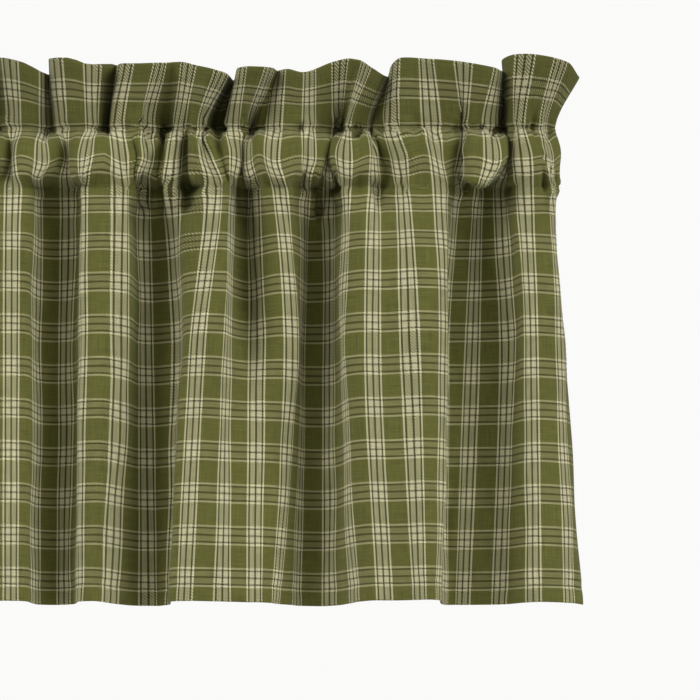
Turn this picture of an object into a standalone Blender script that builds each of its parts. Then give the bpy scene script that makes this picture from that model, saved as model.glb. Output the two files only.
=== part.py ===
# Window valance: one rectangle of cotton plaid with a ruffled header, a rod pocket and a gathered panel.
# Metres, +Z up, the front faces -Y. The origin is the middle of the rod pocket.
# Fold sizes are in millimetres. "left" is measured from the right end of the pocket, as seen from the
# front, "out" is towards the viewer from the middle of the rod, and "up" is from the middle of the rod.

import random

import bmesh
import bpy
import numpy as np

MM = 0.001

# The cloth laid flat, hemmed on all four edges
FLAT_WIDTH = 1829.0
HEADER_DROP = 42.0
POCKET_DROP = 44.0
PANEL_DROP = 268.0
CLOTH_THICKNESS = 1.6

# The cloth as it hangs
HUNG_WIDTH = 1085.0
HEM_FLARE = 17.0
TOP_FLARE = 9.0
ROW_HEIGHT = 18.6
BACK_CLEARANCE = 9.0
BACK_SHARE = 0.4
ROW_FRONT = 27.0
POCKET_TURN = 0.26
DROOP_TURN = 0.06
DROOP_FROM = 0.35
CREST_LIFT = 6.0
CREST_OUT = 33.75
VALLEY_OUT = -9.0
LIFT_DROP = 55.0
BOW_DROP = 30.0
MIDDLE_DROP = 104.0
# Below the lower row, where the panel's folds start to turn into the hem's own, and over what drop
HEM_FOLDS_FROM = 50.0
HEM_FOLDS_DROP = 120.0
# How far forward, and how spread from there, the depths in the tables hang above the panel
HUNG_DEPTHS = (
    ("top_out", 5.0, 1.2),
    ("row_out", 4.5, 1.45),
    ("pocket_out", -3.15, 1.35),
    ("seam_out", 2.0, 1.25),
)

# Cells of the solid's mesh, and its rows as shares of each length of cloth
NEAR_COLUMNS = 64
PLAIN_COLUMNS = 98
HEADER_ROWS = (0.0, 0.5, 1.0)
POCKET_ROWS = (0.0, 0.24, 0.5, 0.76, 0.9, 1.0)
BACK_ROWS = (0.0, 0.24, 0.76, 1.0)
PANEL_ROWS = (0.0, 0.07, 0.2, 0.55, 1.0)

# The folds of the right end's panel, from the right side hem to the left
PANEL_COLUMNS = "flat_at, seam_left, middle_left, hem_left, seam_out, panel_out, hem_out"
PANEL_FOLDS = (
    (0, 2.6, -5.1, -17.0, 3, -7, -7),
    (14, 2.9, -3.9, -11.2, 8, 5, 3),
    (27, 6.4, 2.2, -3.2, 12, 11, 9),
    (41, 16.7, 13.2, 10.9, 15, 15, 14),
    (54, 28.3, 22.2, 21.2, 12, 16, 9),
    (68, 31.5, 27.0, 32.4, -10, 3, -4),
    (80, 40.5, 36.6, 41.7, -12, -6, -8),
    (107, 52.7, 59.1, 64.9, -4, -10, -10),
    (121, 61.7, 68.7, 69.7, 0, -10, -10),
    (134, 68.7, 73.2, 74.2, 8, 0, 0),
    (148, 71.9, 71.0, 74.8, 16, 22, 22),
    (161, 81.6, 77.4, 79.0, 20, 30, 30),
    (175, 95.1, 89.0, 84.8, 18, 32, 32),
    (187, 104.1, 101.5, 93.1, 12, 28, 28),
    (200, 112.5, 112.0, 104.3, 6, 25, 25),
    (214, 122.0, 124.0, 116.3, 11, 27, 26),
    (228, 131.7, 135.2, 126.5, 12, 21, 17),
    (241, 139.1, 138.7, 133.6, 6, 9, 2),
    (255, 142.6, 142.6, 141.3, -11, -5, -13),
    (268, 150.3, 150.9, 151.6, -12, -14, -20),
    (282, 159.3, 161.9, 164.4, -3, -16, -18),
    (295, 165.7, 165.4, 170.9, 2, 0, -10),
    (309, 173.4, 166.7, 178.6, 13, 13, -3),
    (321, 182.4, 175.3, 183.1, 14, 15, 5),
    (336, 191.4, 187.6, 189.5, 6, 4, 10),
    (348, 199.1, 198.5, 199.1, -11, -10, 12),
    (362, 206.8, 208.7, 208.7, -3, 4, 15),
    (375, 209.4, 213.9, 220.3, 12, 21, 18),
    (389, 213.9, 224.2, 232.8, 15, 23, 22),
    (402, 225.4, 234.8, 243.6, 12, 21, 20),
    (411, 237.0, 239.6, 249.0, -6, 14, 14),
    (416, 241.5, 241.0, 250.2, 4, 5, 4),
    (422, 246.5, 242.6, 249.6, 10, -4, -6),
    (430, 253.5, 250.4, 253.4, -8, -11, -13),
    (443, 262.1, 260.5, 258.4, -10, -15, -18),
    (455, 270.4, 270.1, 270.4, 0, -11, -17),
    (470, 273.6, 274.9, 282.6, 11, 15, -3),
    (488, 291.6, 291.6, 296.0, 14, 21, 21),
)

# The puffs of the rod pocket at the right end, half way between its two rows. A puff with droop hangs
# over the lower row.
POCKET_COLUMNS = "flat_at, pocket_left, pocket_out, droop"
POCKET_FOLDS = (
    (0, -1.3, 9, 0),
    (14, 3.2, 15, 0),
    (27, 11.2, 20, 0),
    (41, 17.7, 22, 0),
    (53, 29.9, 18, 0),
    (60, 31.2, 12, 0),
    (70, 31.8, 9, 0),
    (80, 32.5, 10, 0),
    (85, 33.5, 18, 1.5),
    (90, 34.8, 23, 2.4),
    (107, 48.8, 25, 2.6),
    (116, 56.5, 23, 2.4),
    (122, 60.0, 18, 1),
    (127, 61.5, 11, 0),
    (134, 65.5, 14, 0),
    (148, 74.2, 21, 0),
    (161, 83.8, 23, 0),
    (175, 95.9, 21, 0),
    (187, 107.3, 16, 0),
    (196, 112.5, 12, 0),
    (203, 117.0, 16, 0),
    (214, 120.8, 21, 0),
    (228, 131.0, 22, 0),
    (241, 141.9, 19, 0),
    (250, 145.0, 12, 0),
    (257, 145.8, 9, 0),
    (264, 146.5, 9, 0),
    (271, 148.5, 14, 0),
    (282, 154.2, 17, 0),
    (292, 162.5, 15, 0),
    (301, 170.0, 20, 0.5),
    (312, 180.5, 23, 1),
    (324, 188.8, 21, 0.5),
    (336, 194.7, 18, 0),
    (348, 200.1, 13, 0),
    (355, 201.3, 9, 0),
    (362, 202.7, 14, 0),
    (375, 209.5, 19, 0),
    (383, 214.0, 16, 0),
    (389, 219.5, 18, 0),
    (396, 225.0, 18, 0),
    (402, 229.0, 22, 0.5),
    (407, 234.0, 18, 0.5),
    (411, 237.0, 9, 0),
    (416, 240.5, 9, 0),
    (421, 244.5, 17, 0),
    (428, 249.2, 18, 0),
    (435, 254.5, 9, 0),
    (443, 258.5, 11, 0),
    (455, 264.9, 15, 0),
    (463, 268.5, 12, 0),
    (470, 274.3, 17, 0),
    (482, 284.5, 21, 0),
    (488, 288.5, 22, 0),
)

# The lobes of the right end's ruffled header, from the right end to the left
HEADER_COLUMNS = "flat_at, top_left, top_up, top_out, row_left, row_out"
HEADER_FOLDS = (
    (0, -12.8, 50.1, 9, 1.9, 0),
    (14, -3.9, 58.8, 19, 7.1, 4),
    (41, 16.1, 62.6, 24, 21.8, 8),
    (54, 28.9, 63.7, 16, 29.5, 5),
    (65, 34.7, 62.0, 1, 31.5, -2),
    (79, 32.8, 55.9, -5, 34.0, -8),
    (93, 36.6, 54.0, 10, 39.2, 0),
    (107, 43.0, 55.6, 18, 49.5, 6),
    (121, 55.2, 57.4, 20, 57.5, 5),
    (129, 63.0, 58.6, 20, 60.6, 0),
    (134, 68.1, 59.4, 20, 62.9, 3),
    (161, 89.9, 61.3, 17, 88.0, 8),
    (175, 100.8, 62.2, 12, 101.5, 8),
    (185, 106.0, 58.4, -1, 109.8, 2),
    (199, 107.6, 52.7, -6, 118.8, -3),
    (214, 110.5, 51.6, 3, 123.3, -1),
    (228, 120.1, 55.9, 16, 132.3, 4),
    (241, 125.9, 59.4, 19, 136.2, 0),
    (248, 129.5, 60.2, 19, 137.8, -8),
    (255, 133.6, 60.8, 18, 139.4, -9),
    (268, 145.2, 58.8, 14, 145.8, -3),
    (295, 163.1, 52.7, 14, 164.4, 6),
    (309, 173.4, 55.2, 11, 176.0, 6),
    (321, 179.8, 55.2, 0, 186.3, 1),
    (336, 181.1, 55.5, 10, 194.0, -7),
    (342, 184.0, 55.6, 14, 197.0, -10),
    (348, 187.6, 55.6, 19, 199.8, -3),
    (362, 197.8, 55.7, 21, 203.0, 5),
    (373, 203.6, 54.8, 18, 211.4, 5),
    (378, 205.9, 51.0, -6, 214.5, -10),
    (384, 208.1, 50.2, -9, 222.0, -11),
    (388, 209.6, 50.8, 10, 226.4, -2),
    (392, 212.0, 51.6, 21, 228.4, 4),
    (402, 219.0, 53.6, 24, 230.6, 6),
    (416, 229.5, 56.4, 19, 238.6, 3),
    (428, 240.2, 59.2, 14, 246.6, -1),
    (436, 245.5, 59.4, 11, 253.5, -9),
    (443, 249.9, 59.4, 11, 259.5, -2),
    (470, 269.8, 57.5, 20, 276.8, 7),
    (479, 278.5, 58.6, 12, 284.5, 2),
    (484, 283.0, 59.3, -3, 287.5, -7),
    (488, 286.0, 60.0, -2, 289.5, -3),
)

# Plain folds carry on from there to the left side hem. A row is one part of each fold, with its share
# of the fold's flat and hung widths and its depths.
PLAIN_FOLDS = 12
PLAIN_PANEL_COLUMNS = "flat_share, hung_share, seam_out, panel_out"
PLAIN_PANEL = (
    (0.15, 0.20, 12, 19),
    (0.17, 0.07, -5, -3),
    (0.20, 0.27, -9, -13),
    (0.16, 0.19, -2, -6),
    (0.16, 0.07, 8, 17),
    (0.16, 0.20, 14, 24),
)
PLAIN_LOBES = 21
PLAIN_HEADER_COLUMNS = "flat_share, hung_share, top_up, top_out, row_out"
PLAIN_HEADER = (
    (0.22, 0.27, 57.5, 20, 7),
    (0.22, 0.30, 61.5, 19, 6),
    (0.20, 0.30, 62.5, 9, 1),
    (0.18, 0.03, 53.5, -6, -5),
    (0.18, 0.10, 54.0, 10, -1),
)
PLAIN_POCKET_COLUMNS = "flat_share, hung_share, pocket_out, droop"
PLAIN_POCKET = (
    (0.22, 0.32, 23, 1),
    (0.20, 0.22, 17, 0),
    (0.16, 0.06, 9, 0),
    (0.20, 0.14, 16, 0),
    (0.22, 0.26, 22, 2),
)
UNEVENNESS = 0.16
HEM_DRIFT = 0.1
MIDDLE_SHARE = 0.45
ROW_FOLLOWS = 0.5
POCKET_FOLLOWS = 0.8
SEED = 14


def table(rows, columns):
    """Rows of numbers as an array with named columns."""
    return np.rec.fromrecords([tuple(map(float, row)) for row in rows], names=columns)


def smooth_through(knots, values, at):
    """A smooth curve through values at knots that never swings past them."""
    knots, values = np.asarray(knots, float), np.asarray(values, float)
    steps = np.diff(knots).reshape((-1,) + (1,) * (values.ndim - 1))
    rises = np.diff(values, axis=0) / steps
    before, after = rises[:-1], rises[1:]
    same_way = before * after > 0
    total = np.where(same_way, before + after, 1.0)
    inner = np.where(same_way, 2 * before * after / total, 0.0)
    slopes = np.concatenate([rises[:1], inner, rises[-1:]])
    cell = np.clip(np.searchsorted(knots, at) - 1, 0, len(knots) - 2)
    step = np.diff(knots)[cell]
    t = (at - knots[cell]) / step
    return (
        values[cell] * (2 * t + 1) * (t - 1) ** 2
        + values[cell + 1] * t * t * (3 - 2 * t)
        + slopes[cell] * step * t * (t - 1) ** 2
        + slopes[cell + 1] * step * t * t * (t - 1)
    )


def ease(t):
    """From 0 to 1, level at both ends."""
    t = np.clip(t, 0.0, 1.0)
    return t * t * (3 - 2 * t)


def fold_widths(count, chance):
    """How much wider or narrower than usual each of count folds is."""
    return [1 + chance.uniform(-UNEVENNESS, UNEVENNESS) for _ in range(count)]


def steps_of(shares, widths, total):
    """The steps of the folds' parts in turn, summing to total."""
    steps = np.array([share * width for width in widths for share in shares])
    return steps * total / steps.sum()


def plain_panel_folds():
    """The panel's plain folds, from the last drawn one to the left side hem."""
    chance = random.Random(SEED)
    last = table(PANEL_FOLDS, PANEL_COLUMNS)[-1]
    parts = table(PLAIN_PANEL, PLAIN_PANEL_COLUMNS)
    widths = fold_widths(PLAIN_FOLDS, chance)
    flats = last.flat_at + np.cumsum(steps_of(parts.flat_share, widths, FLAT_WIDTH - last.flat_at))
    seams = last.seam_left + np.cumsum(steps_of(parts.hung_share, widths, HUNG_WIDTH - last.seam_left))
    drifts = [width + chance.uniform(-HEM_DRIFT, HEM_DRIFT) for width in widths]
    hem_end = HUNG_WIDTH + HEM_FLARE
    hems = last.hem_left + np.cumsum(steps_of(parts.hung_share, drifts, hem_end - last.hem_left))
    rows = []
    for i, flat in enumerate(flats):
        part = parts[i % len(parts)]
        middle = seams[i] + MIDDLE_SHARE * (hems[i] - seams[i])
        depth = part.panel_out * chance.uniform(0.8, 1.15)
        rows.append((flat, seams[i], middle, hems[i], part.seam_out, depth, depth))
    return rows


def plain_lobes(last, shares):
    """Flat places, hung places and share of the way along for each part of the plain lobes.

    last holds the flat and hung places of the last drawn one and the hung place of the left end.
    """
    widths = fold_widths(PLAIN_LOBES, random.Random(SEED + 1))
    flat_left = FLAT_WIDTH - last[0]
    flats = last[0] + np.cumsum(steps_of(shares.flat_share, widths, flat_left))
    hungs = last[1] + np.cumsum(steps_of(shares.hung_share, widths, last[2] - last[1]))
    return flats, hungs, (flats - last[0]) / flat_left


def plain_header_folds():
    """The header's plain lobes, from the last drawn one to the left side hem."""
    chance = random.Random(SEED + 2)
    last = table(HEADER_FOLDS, HEADER_COLUMNS)[-1]
    parts = table(PLAIN_HEADER, PLAIN_HEADER_COLUMNS)
    places = (last.flat_at, last.top_left, HUNG_WIDTH + TOP_FLARE)
    rows = []
    for i, (flat, top, along) in enumerate(zip(*plain_lobes(places, parts))):
        part = parts[i % len(parts)]
        even = last.row_left + along * (HUNG_WIDTH - last.row_left)
        row_left = even + ROW_FOLLOWS * (top - even) * (1 - along)
        top_up = part.top_up + chance.uniform(-1.5, 1.0)
        rows.append((flat, top, top_up, part.top_out, row_left, part.row_out))
    return rows


def plain_pocket_folds():
    """The pocket's plain puffs, from the last drawn one to the left side hem."""
    chance = random.Random(SEED + 3)
    last = table(POCKET_FOLDS, POCKET_COLUMNS)[-1]
    parts = table(PLAIN_POCKET, PLAIN_POCKET_COLUMNS)
    places = (last.flat_at, last.pocket_left, HUNG_WIDTH)
    rows = []
    for i, (flat, lobe, along) in enumerate(zip(*plain_lobes(places, parts))):
        part = parts[i % len(parts)]
        even = last.pocket_left + along * (HUNG_WIDTH - last.pocket_left)
        left = even + POCKET_FOLLOWS * (lobe - even)
        full = part.pocket_out * (chance.uniform(0.85, 1.12) if part.pocket_out > 10 else 1.0)
        rows.append((flat, left, full, part.droop * chance.uniform(0.0, 1.2)))
    return rows


def stations(flat):
    """The cloth's place at its top edge, pocket rows, mid pocket, mid panel and hem, at flat places."""
    parts = (
        table(list(PANEL_FOLDS) + plain_panel_folds(), PANEL_COLUMNS),
        table(list(POCKET_FOLDS) + plain_pocket_folds(), POCKET_COLUMNS),
        table(list(HEADER_FOLDS) + plain_header_folds(), HEADER_COLUMNS),
    )
    places = {
        name: smooth_through(rows.flat_at, rows[name], flat)
        for rows in parts
        for name in rows.dtype.names[1:]
    }
    for name, forward, spread in HUNG_DEPTHS:
        places[name] = forward + spread * places[name]
    return places


def hung(places, drop, behind=False):
    """left, out and up of a row of the cloth, drop below its top edge. behind is the pocket's back."""
    seam = HEADER_DROP + POCKET_DROP
    drops = (0.0, HEADER_DROP, HEADER_DROP + POCKET_DROP / 2, seam, seam + MIDDLE_DROP, seam + PANEL_DROP)
    names = ("top_left", "row_left", "pocket_left", "seam_left", "middle_left", "hem_left")
    left = smooth_through(drops, [places[name] for name in names], drop)
    if drop <= HEADER_DROP:
        t = drop / HEADER_DROP
        out = places["top_out"] * (1 - t) + places["row_out"] * t
        up = places["top_up"] * (1 - t) + ROW_HEIGHT * t
    elif drop <= seam:
        t = (drop - HEADER_DROP) / POCKET_DROP
        row = places["row_out"] * (1 - t) + places["seam_out"] * t
        up = np.full_like(row, ROW_HEIGHT * (1 - 2 * t))
        if behind:
            full = -BACK_CLEARANCE - BACK_SHARE * (ROW_FRONT - row)
            puff = ease(t / POCKET_TURN) * ease((1 - t) / POCKET_TURN)
        else:
            full, droop = places["pocket_out"], places["droop"]
            puff = ease(t / POCKET_TURN) * ease((1 - t) / (POCKET_TURN - DROOP_TURN * droop))
            up = up - droop * ease((t - DROOP_FROM) / 0.45) * ease((1 - t) / 0.12)
        out = row + (full - row) * puff
    else:
        below = drop - seam
        bow = ease(below / BOW_DROP)
        low = ease((below - HEM_FOLDS_FROM) / HEM_FOLDS_DROP)
        panel = places["panel_out"] * (1 - low) + places["hem_out"] * low
        out = places["seam_out"] * (1 - bow) + panel * bow
        lift = CREST_LIFT * (panel - VALLEY_OUT) / CREST_OUT * ease(below / LIFT_DROP)
        up = -ROW_HEIGHT - below + lift
    return left, out, up


def column_flats():
    """Where the solid's columns of cells lie on the flat cloth, closer together at the right end."""
    drawn = PANEL_FOLDS[-1][0]
    near = np.linspace(0.0, drawn, NEAR_COLUMNS + 1)
    plain = np.linspace(drawn, FLAT_WIDTH, PLAIN_COLUMNS + 1)
    return np.concatenate([near, plain[1:]])


def front_drops():
    """Where the rows of cells of the front lie, as drops below the top edge."""
    seam = HEADER_DROP + POCKET_DROP
    return np.concatenate([
        HEADER_DROP * np.array(HEADER_ROWS),
        HEADER_DROP + POCKET_DROP * np.array(POCKET_ROWS[1:]),
        seam + PANEL_DROP * np.array(PANEL_ROWS[1:]),
    ])


def add_sheet(bm, places, drops, behind=False):
    """A grid of cells through the given rows of the cloth."""
    columns = len(places["seam_left"])
    grid = bmesh.ops.create_grid(bm, x_segments=columns - 1, y_segments=len(drops) - 1, size=1.0)
    rows = [hung(places, drop, behind) for drop in drops]
    for vert in grid["verts"]:
        column = round((1 - vert.co.x) / 2 * (columns - 1))
        row = round((1 - vert.co.y) / 2 * (len(drops) - 1))
        left, out, up = rows[row]
        vert.co = (
            (HUNG_WIDTH / 2 - left[column]) * MM,
            -out[column] * MM,
            up[column] * MM,
        )


def cotton():
    material = bpy.data.materials.new("cotton_plaid")
    material.use_nodes = True
    shader = material.node_tree.nodes["Principled BSDF"]
    shader.inputs["Base Color"].default_value = (0.11, 0.12, 0.04, 1.0)
    shader.inputs["Roughness"].default_value = 0.9
    shader.inputs["Metallic"].default_value = 0.0
    return material


def cloth():
    """The one piece of cloth, with the back of the rod pocket joined to it along both rows."""
    places = stations(column_flats())
    bm = bmesh.new()
    add_sheet(bm, places, front_drops())
    add_sheet(bm, places, HEADER_DROP + POCKET_DROP * np.array(BACK_ROWS), behind=True)
    bmesh.ops.remove_doubles(bm, verts=bm.verts, dist=0.01 * MM)
    mesh = bpy.data.meshes.new("cloth")
    bm.to_mesh(mesh)
    bm.free()
    mesh.materials.append(cotton())
    part = bpy.data.objects.new("cloth", mesh)
    bpy.context.scene.collection.objects.link(part)
    solid = part.modifiers.new("thickness", "SOLIDIFY")
    solid.solidify_mode = "NON_MANIFOLD"
    solid.nonmanifold_thickness_mode = "FIXED"
    solid.nonmanifold_boundary_mode = "FLAT"
    solid.nonmanifold_merge_threshold = 0.00001
    solid.thickness = CLOTH_THICKNESS * MM
    solid.offset = 0.0
    return part


for old in list(bpy.data.objects):
    bpy.data.objects.remove(old, do_unlink=True)
cloth()
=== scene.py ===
import math
import random

import bmesh
import bpy
import numpy as np
from mathutils import Matrix, Vector


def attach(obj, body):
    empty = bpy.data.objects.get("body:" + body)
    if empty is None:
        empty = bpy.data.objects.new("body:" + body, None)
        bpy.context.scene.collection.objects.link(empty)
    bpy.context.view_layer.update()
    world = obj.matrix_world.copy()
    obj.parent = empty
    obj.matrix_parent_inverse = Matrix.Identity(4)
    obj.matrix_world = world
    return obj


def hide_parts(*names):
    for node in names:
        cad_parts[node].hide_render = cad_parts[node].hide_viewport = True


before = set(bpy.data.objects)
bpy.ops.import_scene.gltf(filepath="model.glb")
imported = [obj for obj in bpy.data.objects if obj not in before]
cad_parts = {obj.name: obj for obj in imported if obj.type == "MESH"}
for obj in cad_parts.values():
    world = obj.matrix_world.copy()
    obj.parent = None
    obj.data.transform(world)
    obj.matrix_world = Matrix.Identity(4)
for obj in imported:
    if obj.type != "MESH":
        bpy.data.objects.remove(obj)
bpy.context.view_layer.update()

mm = 0.001

# window valance: one plaid cloth, header and rod pocket turned to the back, gathered on a rod
# sizes in mm; "left" runs from the pocket's right end, "out" towards the room, "up" from the rod
cloth = {
    "flatWidth": 1829.0,
    "headerDrop": 42.0,
    "pocketDrop": 44.0,
    "panelDrop": 268.0,
    "hungWidth": 1085.0,
    "hemFlare": 17.0,
    "topFlare": 9.0,
    "rowHeight": 18.6,
    "backClearance": 9.0,
    "backShare": 0.4,
    "rowFront": 27.0,
    "topDepth": (5.0, 1.2),     # depths of the tables as hung: forward, and spread
    "rowDepth": (4.5, 1.45),
    "pocketDepth": (-3.15, 1.35),
    "seamDepth": (2.0, 1.25),
    "pocketTurn": 0.26,
    "droopTurn": 0.06,      # a lobe that hangs over its row turns in this much later
    "droopFrom": 0.35,      # shares of the pocket over which it comes to hang, and is drawn in again
    "droopOver": 0.45,
    "droopEnd": 0.12,
    "crestLift": 6.0,
    "crestOut": 33.75,
    "valleyOut": -9.0,
    "liftDrop": 55.0,
    "bowDrop": 30.0,
    "middleDrop": 104.0,
    "hemFoldsFrom": 50.0,   # below the lower row, the folds turn into the hem's own
    "hemFoldsDrop": 120.0,
    "thickness": 0.6,
    "layerGap": 0.5,        # half the distance between the header's two layers
    "gapDrop": 12.0,        # below the lower row, over which the front closes that distance
    "hemGap": 0.8,          # of layerGap, round the hem's turn, and behind it
    "hemBackGap": 1.6,
    "turnedEdge": 3.0,      # of the back layer, below the lower row
    "hemTurn": 10.7,
    "nearStep": 2.1,        # flat width of a cell at the right end
    "plainStep": 6.5,
    "backStep": 4.4,
}
# cells down the front: from a place and so far below it, to a place and so far below it, and their height
frontCells = (
    ("top", 0, "upperRow", -12, 3.75),
    ("upperRow", -12, "upperRow", 0, 2.0),
    ("upperRow", 0, "lowerRow", 0, 2.1),
    ("lowerRow", 0, "lowerRow", 14, 2.3),
    ("lowerRow", 14, "lowerRow", 40, 4.4),
    ("lowerRow", 40, "hemRow", -5, 9.0),
    ("hemRow", -5, "hemRow", 0, 5.0),
    ("hemRow", 0, "hem", 0, 5.3),
)

# the folds of the right end, from the right side hem to the left
panelColumns = "flatAt, seamLeft, middleLeft, hemLeft, seamOut, panelOut, hemOut"
panelFolds = (
    (0, 2.6, -5.1, -17.0, 3, -7, -7),
    (14, 2.9, -3.9, -11.2, 8, 5, 3),
    (27, 6.4, 2.2, -3.2, 12, 11, 9),
    (41, 16.7, 13.2, 10.9, 15, 15, 14),
    (54, 28.3, 22.2, 21.2, 12, 16, 9),
    (68, 31.5, 27.0, 32.4, -10, 3, -4),
    (80, 40.5, 36.6, 41.7, -12, -6, -8),
    (107, 52.7, 59.1, 64.9, -4, -10, -10),
    (121, 61.7, 68.7, 69.7, 0, -10, -10),
    (134, 68.7, 73.2, 74.2, 8, 0, 0),
    (148, 71.9, 71.0, 74.8, 16, 22, 22),
    (161, 81.6, 77.4, 79.0, 20, 30, 30),
    (175, 95.1, 89.0, 84.8, 18, 32, 32),
    (187, 104.1, 101.5, 93.1, 12, 28, 28),
    (200, 112.5, 112.0, 104.3, 6, 25, 25),
    (214, 122.0, 124.0, 116.3, 11, 27, 26),
    (228, 131.7, 135.2, 126.5, 12, 21, 17),
    (241, 139.1, 138.7, 133.6, 6, 9, 2),
    (255, 142.6, 142.6, 141.3, -11, -5, -13),
    (268, 150.3, 150.9, 151.6, -12, -14, -20),
    (282, 159.3, 161.9, 164.4, -3, -16, -18),
    (295, 165.7, 165.4, 170.9, 2, 0, -10),
    (309, 173.4, 166.7, 178.6, 13, 13, -3),
    (321, 182.4, 175.3, 183.1, 14, 15, 5),
    (336, 191.4, 187.6, 189.5, 6, 4, 10),
    (348, 199.1, 198.5, 199.1, -11, -10, 12),
    (362, 206.8, 208.7, 208.7, -3, 4, 15),
    (375, 209.4, 213.9, 220.3, 12, 21, 18),
    (389, 213.9, 224.2, 232.8, 15, 23, 22),
    (402, 225.4, 234.8, 243.6, 12, 21, 20),
    (411, 237.0, 239.6, 249.0, -6, 14, 14),
    (416, 241.5, 241.0, 250.2, 4, 5, 4),
    (422, 246.5, 242.6, 249.6, 10, -4, -6),
    (430, 253.5, 250.4, 253.4, -8, -11, -13),
    (443, 262.1, 260.5, 258.4, -10, -15, -18),
    (455, 270.4, 270.1, 270.4, 0, -11, -17),
    (470, 273.6, 274.9, 282.6, 11, 15, -3),
    (488, 291.6, 291.6, 296.0, 14, 21, 21),
)

# the puffs of the rod pocket between its two rows
pocketColumns = "flatAt, pocketLeft, pocketOut, droop"
pocketFolds = (
    (0, -1.3, 9, 0),
    (14, 3.2, 15, 0),
    (27, 11.2, 20, 0),
    (41, 17.7, 22, 0),
    (53, 29.9, 18, 0),
    (60, 31.2, 12, 0),
    (70, 31.8, 9, 0),
    (80, 32.5, 10, 0),
    (85, 33.5, 18, 1.5),
    (90, 34.8, 23, 2.4),
    (107, 48.8, 25, 2.6),
    (116, 56.5, 23, 2.4),
    (122, 60.0, 18, 1),
    (127, 61.5, 11, 0),
    (134, 65.5, 14, 0),
    (148, 74.2, 21, 0),
    (161, 83.8, 23, 0),
    (175, 95.9, 21, 0),
    (187, 107.3, 16, 0),
    (196, 112.5, 12, 0),
    (203, 117.0, 16, 0),
    (214, 120.8, 21, 0),
    (228, 131.0, 22, 0),
    (241, 141.9, 19, 0),
    (250, 145.0, 12, 0),
    (257, 145.8, 9, 0),
    (264, 146.5, 9, 0),
    (271, 148.5, 14, 0),
    (282, 154.2, 17, 0),
    (292, 162.5, 15, 0),
    (301, 170.0, 20, 0.5),
    (312, 180.5, 23, 1),
    (324, 188.8, 21, 0.5),
    (336, 194.7, 18, 0),
    (348, 200.1, 13, 0),
    (355, 201.3, 9, 0),
    (362, 202.7, 14, 0),
    (375, 209.5, 19, 0),
    (383, 214.0, 16, 0),
    (389, 219.5, 18, 0),
    (396, 225.0, 18, 0),
    (402, 229.0, 22, 0.5),
    (407, 234.0, 18, 0.5),
    (411, 237.0, 9, 0),
    (416, 240.5, 9, 0),
    (421, 244.5, 17, 0),
    (428, 249.2, 18, 0),
    (435, 254.5, 9, 0),
    (443, 258.5, 11, 0),
    (455, 264.9, 15, 0),
    (463, 268.5, 12, 0),
    (470, 274.3, 17, 0),
    (482, 284.5, 21, 0),
    (488, 288.5, 22, 0),
)

# the lobes of the right end's ruffled header
headerColumns = "flatAt, topLeft, topUp, topOut, rowLeft, rowOut"
headerFolds = (
    (0, -12.8, 50.1, 9, 1.9, 0),
    (14, -3.9, 58.8, 19, 7.1, 4),
    (41, 16.1, 62.6, 24, 21.8, 8),
    (54, 28.9, 63.7, 16, 29.5, 5),
    (65, 34.7, 62.0, 1, 31.5, -2),
    (79, 32.8, 55.9, -5, 34.0, -8),
    (93, 36.6, 54.0, 10, 39.2, 0),
    (107, 43.0, 55.6, 18, 49.5, 6),
    (121, 55.2, 57.4, 20, 57.5, 5),
    (129, 63.0, 58.6, 20, 60.6, 0),
    (134, 68.1, 59.4, 20, 62.9, 3),
    (161, 89.9, 61.3, 17, 88.0, 8),
    (175, 100.8, 62.2, 12, 101.5, 8),
    (185, 106.0, 58.4, -1, 109.8, 2),
    (199, 107.6, 52.7, -6, 118.8, -3),
    (214, 110.5, 51.6, 3, 123.3, -1),
    (228, 120.1, 55.9, 16, 132.3, 4),
    (241, 125.9, 59.4, 19, 136.2, 0),
    (248, 129.5, 60.2, 19, 137.8, -8),
    (255, 133.6, 60.8, 18, 139.4, -9),
    (268, 145.2, 58.8, 14, 145.8, -3),
    (295, 163.1, 52.7, 14, 164.4, 6),
    (309, 173.4, 55.2, 11, 176.0, 6),
    (321, 179.8, 55.2, 0, 186.3, 1),
    (336, 181.1, 55.5, 10, 194.0, -7),
    (342, 184.0, 55.6, 14, 197.0, -10),
    (348, 187.6, 55.6, 19, 199.8, -3),
    (362, 197.8, 55.7, 21, 203.0, 5),
    (373, 203.6, 54.8, 18, 211.4, 5),
    (378, 205.9, 51.0, -6, 214.5, -10),
    (384, 208.1, 50.2, -9, 222.0, -11),
    (388, 209.6, 50.8, 10, 226.4, -2),
    (392, 212.0, 51.6, 21, 228.4, 4),
    (402, 219.0, 53.6, 24, 230.6, 6),
    (416, 229.5, 56.4, 19, 238.6, 3),
    (428, 240.2, 59.2, 14, 246.6, -1),
    (436, 245.5, 59.4, 11, 253.5, -9),
    (443, 249.9, 59.4, 11, 259.5, -2),
    (470, 269.8, 57.5, 20, 276.8, 7),
    (479, 278.5, 58.6, 12, 284.5, 2),
    (484, 283.0, 59.3, -3, 287.5, -7),
    (488, 286.0, 60.0, -2, 289.5, -3),
)

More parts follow.
